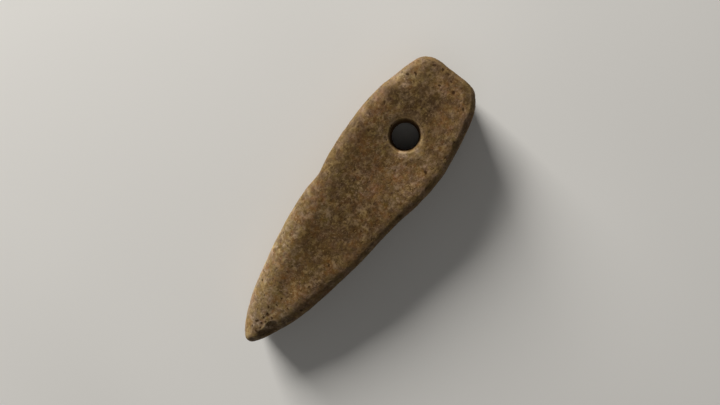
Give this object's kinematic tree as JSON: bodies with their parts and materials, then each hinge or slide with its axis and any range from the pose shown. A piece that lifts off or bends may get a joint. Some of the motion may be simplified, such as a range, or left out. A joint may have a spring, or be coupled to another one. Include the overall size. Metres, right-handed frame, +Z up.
{
  "type": "shaft-hole axe head",
  "caption": "Long stone axe head with a round shaft hole near the flat butt, tapering to a narrow upright cutting edge.",
  "frame": {"origin": "middle of the underside of the head's box, on the surface that it lies on", "axes": "+X from the butt to the cutting edge, +Z up along the shaft hole, +Y across the head"},
  "size_m": [0.24, 0.0724, 0.043],
  "materials": {
    "stone": "weathered matt"
  },
  "bodies": {
    "root": {"axe_head": "stone"}
  },
  "joints": []
}
